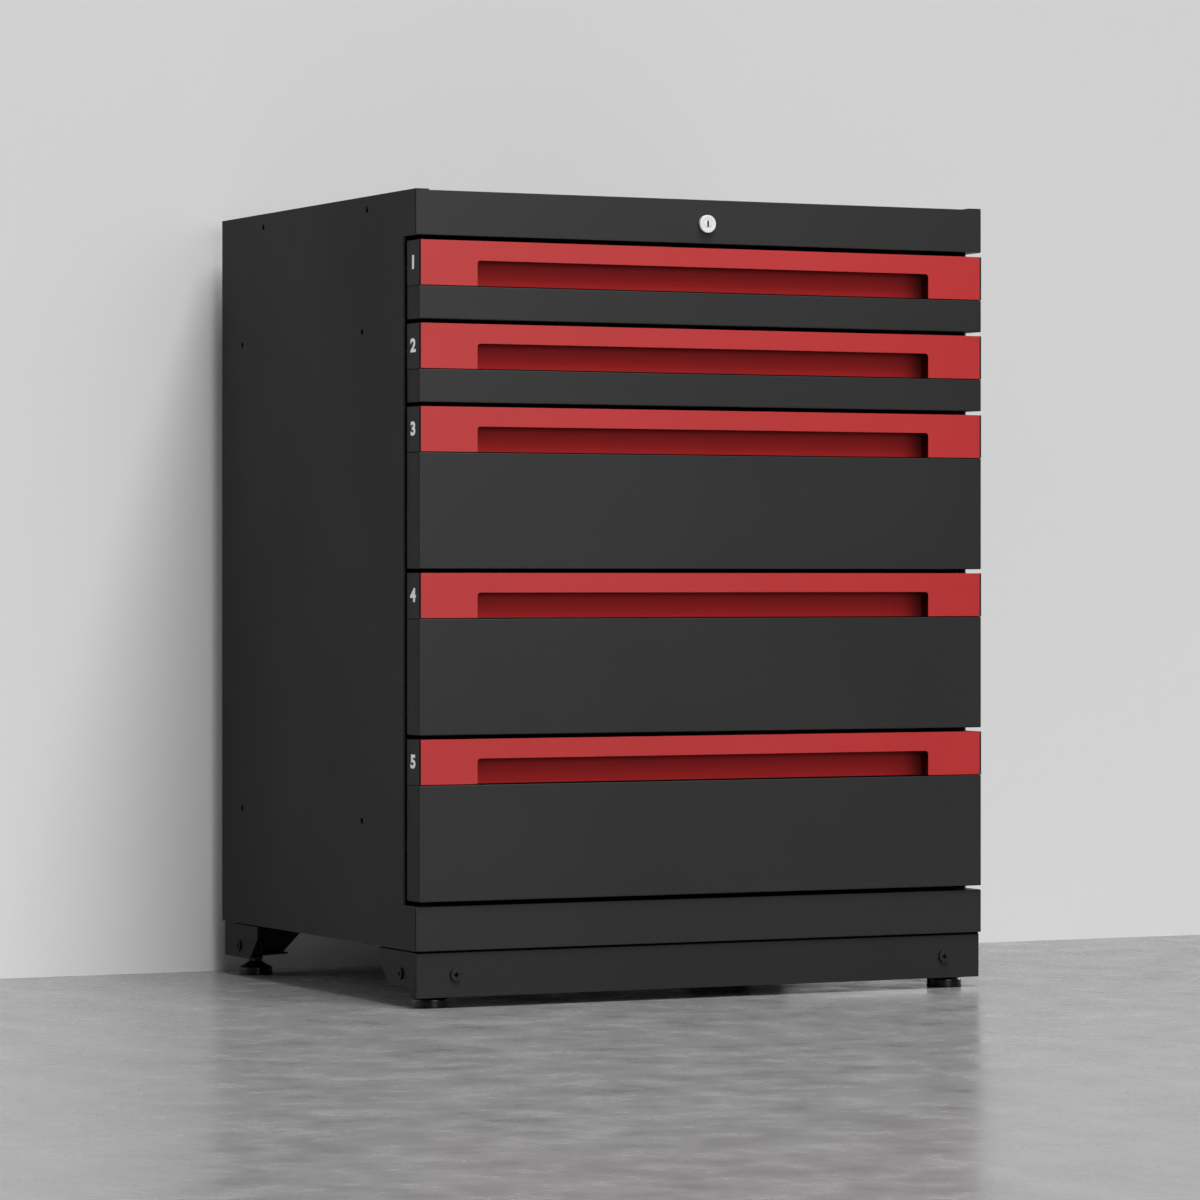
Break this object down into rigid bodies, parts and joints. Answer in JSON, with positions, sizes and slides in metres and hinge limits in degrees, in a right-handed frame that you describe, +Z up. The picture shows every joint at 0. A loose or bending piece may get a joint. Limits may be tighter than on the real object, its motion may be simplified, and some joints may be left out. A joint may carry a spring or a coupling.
{
  "type": "drawer cabinet",
  "caption": "Free-standing steel drawer cabinet on levelling feet, with full-extension drawers, long recessed handle strips and a central key lock.",
  "frame": {"origin": "centre of the bounding box at floor level", "axes": "+Z up; the drawers open towards -Y; +X is the right-hand side seen from the front"},
  "size_m": [0.782, 0.631, 0.9852],
  "materials": {
    "body_paint": "fine-textured anthracite powder coat",
    "front_paint": "fine-textured anthracite powder coat",
    "box_paint": "smooth anthracite powder coat",
    "handle_red": "satin red powder coat",
    "cap_plastic": "black moulded plastic",
    "rail_zinc": "bright zinc-plated steel",
    "lock_chrome": "polished nickel-chrome",
    "screw_black": "blackened steel",
    "foot_plastic": "black moulded plastic",
    "stem_steel": "black-passivated steel"
  },
  "bodies": {
    "cabinet": {"side_panel_left": "body_paint", "side_panel_right": "body_paint", "top_panel": "body_paint", "bottom_panel": "body_paint", "back_panel": "body_paint", "kick_plate": "body_paint", "kick_plate_screw_left": "screw_black", "kick_plate_screw_right": "screw_black", "leg_bracket_front_left": "body_paint", "leg_bracket_front_right": "body_paint", "leg_bracket_rear_left": "body_paint", "leg_bracket_rear_right": "body_paint", "runner_panel_left": "rail_zinc", "runner_panel_right": "rail_zinc", "lock_barrel": "lock_chrome"},
    "foot_front_left": {"foot_pad_front_left": "foot_plastic"},
    "stem_front_left": {"foot_stem_front_left": "stem_steel"},
    "foot_front_right": {"foot_pad_front_right": "foot_plastic"},
    "stem_front_right": {"foot_stem_front_right": "stem_steel"},
    "foot_rear_left": {"foot_pad_rear_left": "foot_plastic"},
    "stem_rear_left": {"foot_stem_rear_left": "stem_steel"},
    "foot_rear_right": {"foot_pad_rear_right": "foot_plastic"},
    "stem_rear_right": {"foot_stem_rear_right": "stem_steel"},
    "drawer_1": {"drawer_box_1": "box_paint", "drawer_front_1": "front_paint", "drawer_handle_1": "handle_red", "handle_cap_left_1": "cap_plastic", "handle_cap_right_1": "cap_plastic"},
    "middle_rail_left_1": {"middle_rail_left_1": "rail_zinc"},
    "middle_rail_right_1": {"middle_rail_right_1": "rail_zinc"},
    "drawer_2": {"drawer_box_2": "box_paint", "drawer_front_2": "front_paint", "drawer_handle_2": "handle_red", "handle_cap_left_2": "cap_plastic", "handle_cap_right_2": "cap_plastic"},
    "middle_rail_left_2": {"middle_rail_left_2": "rail_zinc"},
    "middle_rail_right_2": {"middle_rail_right_2": "rail_zinc"},
    "drawer_3": {"drawer_box_3": "box_paint", "drawer_front_3": "front_paint", "drawer_handle_3": "handle_red", "handle_cap_left_3": "cap_plastic", "handle_cap_right_3": "cap_plastic"},
    "middle_rail_left_3": {"middle_rail_left_3": "rail_zinc"},
    "middle_rail_right_3": {"middle_rail_right_3": "rail_zinc"},
    "drawer_4": {"drawer_box_4": "box_paint", "drawer_front_4": "front_paint", "drawer_handle_4": "handle_red", "handle_cap_left_4": "cap_plastic", "handle_cap_right_4": "cap_plastic"},
    "middle_rail_left_4": {"middle_rail_left_4": "rail_zinc"},
    "middle_rail_right_4": {"middle_rail_right_4": "rail_zinc"},
    "drawer_5": {"drawer_box_5": "box_paint", "drawer_front_5": "front_paint", "drawer_handle_5": "handle_red", "handle_cap_left_5": "cap_plastic", "handle_cap_right_5": "cap_plastic"},
    "middle_rail_left_5": {"middle_rail_left_5": "rail_zinc"},
    "middle_rail_right_5": {"middle_rail_right_5": "rail_zinc"},
    "lock_plug": {"lock_plug": "lock_chrome"},
    "lock_bar": {"lock_bar": "rail_zinc"}
  },
  "joints": [
    {"name": "foot_front_left_travel", "type": "slide", "parent": "cabinet", "child": "foot_front_left", "axis": [0, 0, -1], "range_m": [0, 0.025]},
    {"name": "stem_front_left_turn", "type": "hinge", "parent": "foot_front_left", "child": "stem_front_left", "pos_m": [-0.357, -0.2761, 0.03], "axis": [0, 0, -1], "range_deg": [0, 5143]},
    {"name": "foot_front_right_travel", "type": "slide", "parent": "cabinet", "child": "foot_front_right", "axis": [0, 0, -1], "range_m": [0, 0.025]},
    {"name": "stem_front_right_turn", "type": "hinge", "parent": "foot_front_right", "child": "stem_front_right", "pos_m": [0.357, -0.2761, 0.03], "axis": [0, 0, -1], "range_deg": [0, 5143]},
    {"name": "foot_rear_left_travel", "type": "slide", "parent": "cabinet", "child": "foot_rear_left", "axis": [0, 0, -1], "range_m": [0, 0.025]},
    {"name": "stem_rear_left_turn", "type": "hinge", "parent": "foot_rear_left", "child": "stem_rear_left", "pos_m": [-0.357, 0.2829, 0.03], "axis": [0, 0, -1], "range_deg": [0, 5143]},
    {"name": "foot_rear_right_travel", "type": "slide", "parent": "cabinet", "child": "foot_rear_right", "axis": [0, 0, -1], "range_m": [0, 0.025]},
    {"name": "stem_rear_right_turn", "type": "hinge", "parent": "foot_rear_right", "child": "stem_rear_right", "pos_m": [0.357, 0.2829, 0.03], "axis": [0, 0, -1], "range_deg": [0, 5143]},
    {"name": "drawer_1_slide", "type": "slide", "parent": "cabinet", "child": "drawer_1", "axis": [0, -1, 0], "range_m": [0, 0.5]},
    {"name": "middle_rail_left_1_slide", "type": "slide", "parent": "cabinet", "child": "middle_rail_left_1", "axis": [0, -1, 0], "range_m": [0, 0.25]},
    {"name": "middle_rail_right_1_slide", "type": "slide", "parent": "cabinet", "child": "middle_rail_right_1", "axis": [0, -1, 0], "range_m": [0, 0.25]},
    {"name": "drawer_2_slide", "type": "slide", "parent": "cabinet", "child": "drawer_2", "axis": [0, -1, 0], "range_m": [0, 0.5]},
    {"name": "middle_rail_left_2_slide", "type": "slide", "parent": "cabinet", "child": "middle_rail_left_2", "axis": [0, -1, 0], "range_m": [0, 0.25]},
    {"name": "middle_rail_right_2_slide", "type": "slide", "parent": "cabinet", "child": "middle_rail_right_2", "axis": [0, -1, 0], "range_m": [0, 0.25]},
    {"name": "drawer_3_slide", "type": "slide", "parent": "cabinet", "child": "drawer_3", "axis": [0, -1, 0], "range_m": [0, 0.5]},
    {"name": "middle_rail_left_3_slide", "type": "slide", "parent": "cabinet", "child": "middle_rail_left_3", "axis": [0, -1, 0], "range_m": [0, 0.25]},
    {"name": "middle_rail_right_3_slide", "type": "slide", "parent": "cabinet", "child": "middle_rail_right_3", "axis": [0, -1, 0], "range_m": [0, 0.25]},
    {"name": "drawer_4_slide", "type": "slide", "parent": "cabinet", "child": "drawer_4", "axis": [0, -1, 0], "range_m": [0, 0.5]},
    {"name": "middle_rail_left_4_slide", "type": "slide", "parent": "cabinet", "child": "middle_rail_left_4", "axis": [0, -1, 0], "range_m": [0, 0.25]},
    {"name": "middle_rail_right_4_slide", "type": "slide", "parent": "cabinet", "child": "middle_rail_right_4", "axis": [0, -1, 0], "range_m": [0, 0.25]},
    {"name": "drawer_5_slide", "type": "slide", "parent": "cabinet", "child": "drawer_5", "axis": [0, -1, 0], "range_m": [0, 0.5]},
    {"name": "middle_rail_left_5_slide", "type": "slide", "parent": "cabinet", "child": "middle_rail_left_5", "axis": [0, -1, 0], "range_m": [0, 0.25]},
    {"name": "middle_rail_right_5_slide", "type": "slide", "parent": "cabinet", "child": "middle_rail_right_5", "axis": [0, -1, 0], "range_m": [0, 0.25]},
    {"name": "lock_plug_turn", "type": "hinge", "parent": "cabinet", "child": "lock_plug", "pos_m": [0, -0.3105, 0.954], "axis": [0, -1, 0], "range_deg": [0, 90]},
    {"name": "lock_bar_slide", "type": "slide", "parent": "cabinet", "child": "lock_bar", "axis": [0, 0, 1], "range_m": [0, 0.008]}
  ],
  "couplings": [
    {"joint": "stem_front_left_turn", "follows": "foot_front_left_travel", "rad_per_m": 3590.4},
    {"joint": "stem_front_right_turn", "follows": "foot_front_right_travel", "rad_per_m": 3590.4},
    {"joint": "stem_rear_left_turn", "follows": "foot_rear_left_travel", "rad_per_m": 3590.4},
    {"joint": "stem_rear_right_turn", "follows": "foot_rear_right_travel", "rad_per_m": 3590.4},
    {"joint": "middle_rail_left_1_slide", "follows": "drawer_1_slide", "ratio": 0.5},
    {"joint": "middle_rail_right_1_slide", "follows": "drawer_1_slide", "ratio": 0.5},
    {"joint": "middle_rail_left_2_slide", "follows": "drawer_2_slide", "ratio": 0.5},
    {"joint": "middle_rail_right_2_slide", "follows": "drawer_2_slide", "ratio": 0.5},
    {"joint": "middle_rail_left_3_slide", "follows": "drawer_3_slide", "ratio": 0.5},
    {"joint": "middle_rail_right_3_slide", "follows": "drawer_3_slide", "ratio": 0.5},
    {"joint": "middle_rail_left_4_slide", "follows": "drawer_4_slide", "ratio": 0.5},
    {"joint": "middle_rail_right_4_slide", "follows": "drawer_4_slide", "ratio": 0.5},
    {"joint": "middle_rail_left_5_slide", "follows": "drawer_5_slide", "ratio": 0.5},
    {"joint": "middle_rail_right_5_slide", "follows": "drawer_5_slide", "ratio": 0.5},
    {"joint": "lock_plug_turn", "follows": "lock_bar_slide", "rad_per_m": 196.3}
  ]
}
